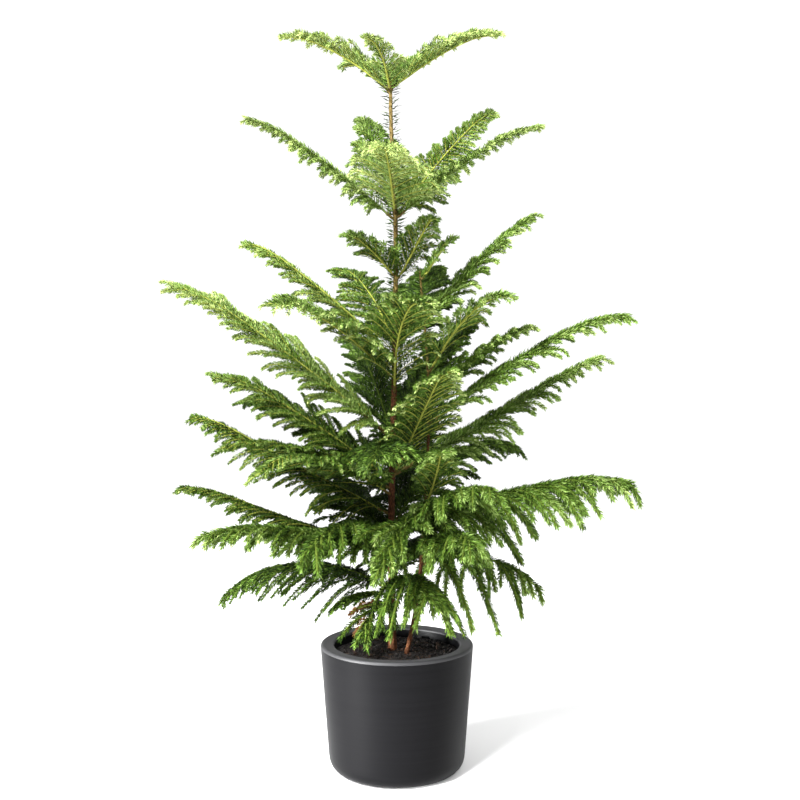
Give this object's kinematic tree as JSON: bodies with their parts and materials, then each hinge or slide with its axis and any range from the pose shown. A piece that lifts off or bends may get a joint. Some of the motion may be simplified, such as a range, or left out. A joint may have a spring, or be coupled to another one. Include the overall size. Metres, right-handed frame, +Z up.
{
  "type": "potted norfolk island pine",
  "caption": "Young potted Norfolk island pine with a straight trunk, a thinner second stem and tiers of feathery boughs, standing in a round tapered pot.",
  "frame": {"origin": "centre of the pot's flat underside", "axes": "+Z up along the trunk, +X to the right and +Y away from someone who looks at the plant's front"},
  "size_m": [0.7468, 0.5815, 1.1968],
  "materials": {
    "pot": "matte charcoal with a soft sheen and faint turning marks",
    "soil": "dark crumbly potting soil",
    "bark": "reddish brown scaly bark",
    "needles": "soft green needles, lime at the tips"
  },
  "bodies": {
    "root": {"pot": "pot", "soil": "soil", "trunk": "bark", "second_stem": "bark", "bough_5_left": "bark", "bough_6_right": "bark", "bough_7_right": "bark", "bough_7_left": "bark", "foliage_1_left": "needles", "foliage_1_right": "needles", "foliage_1_front": "needles", "foliage_1_back": "needles", "foliage_1_back_left": "needles", "foliage_2_left": "needles", "foliage_2_front": "needles", "foliage_2_right": "needles", "foliage_2_right_back": "needles", "foliage_2_left_back": "needles", "foliage_3_front_left": "needles", "foliage_3_front_right": "needles", "foliage_4_left": "needles", "foliage_4_left_front": "needles", "foliage_4_right": "needles", "foliage_4_front": "needles", "foliage_4_back": "needles", "foliage_4_back_left": "needles", "foliage_5_left": "needles", "foliage_5_right_back": "needles", "foliage_5_back": "needles", "foliage_5_back_left": "needles", "foliage_6_left": "needles", "foliage_6_left_front": "needles", "foliage_6_front_left": "needles", "foliage_6_front": "needles", "foliage_6_front_right": "needles", "foliage_6_right": "needles", "foliage_6_back": "needles", "foliage_6_back_left": "needles", "foliage_7_left_up": "needles", "foliage_7_right": "needles", "foliage_7_right_front": "needles", "foliage_7_left_front": "needles", "foliage_7_front_left": "needles", "foliage_7_left": "needles", "foliage_7_right_back": "needles", "foliage_7_back": "needles", "foliage_7_back_left": "needles", "foliage_8_left_back": "needles", "foliage_8_front": "needles", "foliage_8_front_left": "needles", "foliage_8_left": "needles", "foliage_8_back": "needles", "foliage_s1_right": "needles", "foliage_s2_right": "needles", "foliage_s2_front_right": "needles", "foliage_s3_right": "needles", "foliage_s4_front_up": "needles", "foliage_s4_front": "needles", "foliage_s4_front_right": "needles", "foliage_s4_right": "needles"}
  },
  "joints": []
}
